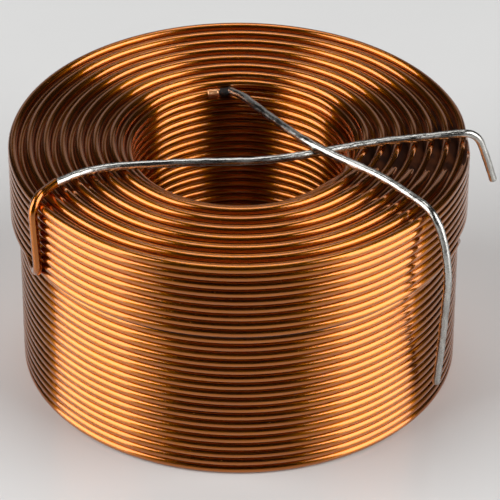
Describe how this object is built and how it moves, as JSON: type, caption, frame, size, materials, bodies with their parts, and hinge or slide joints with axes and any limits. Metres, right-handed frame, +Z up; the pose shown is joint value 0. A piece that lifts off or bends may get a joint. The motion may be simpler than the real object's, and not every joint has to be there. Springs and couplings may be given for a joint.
{
  "type": "air core inductor",
  "caption": "Self-supporting air core inductor: a flat multilayer ring of bonded enamelled round wire with an open bore, its two tinned ends formed across the top.",
  "frame": {"origin": "on the axis of the bore, at the plane the coil stands on", "axes": "+Z up along the bore axis towards the end with the leads; +X towards the side where the finish lead's free end hangs past the rim"},
  "size_m": [0.0588, 0.0552, 0.0322],
  "materials": {
    "enamelled_wire": "clear amber enamel over copper, glossy",
    "tinned_wire": "dull solder tinning over copper"
  },
  "bodies": {
    "root": {"winding": "enamelled_wire", "start_lead": "tinned_wire", "finish_lead": "tinned_wire"}
  },
  "joints": []
}
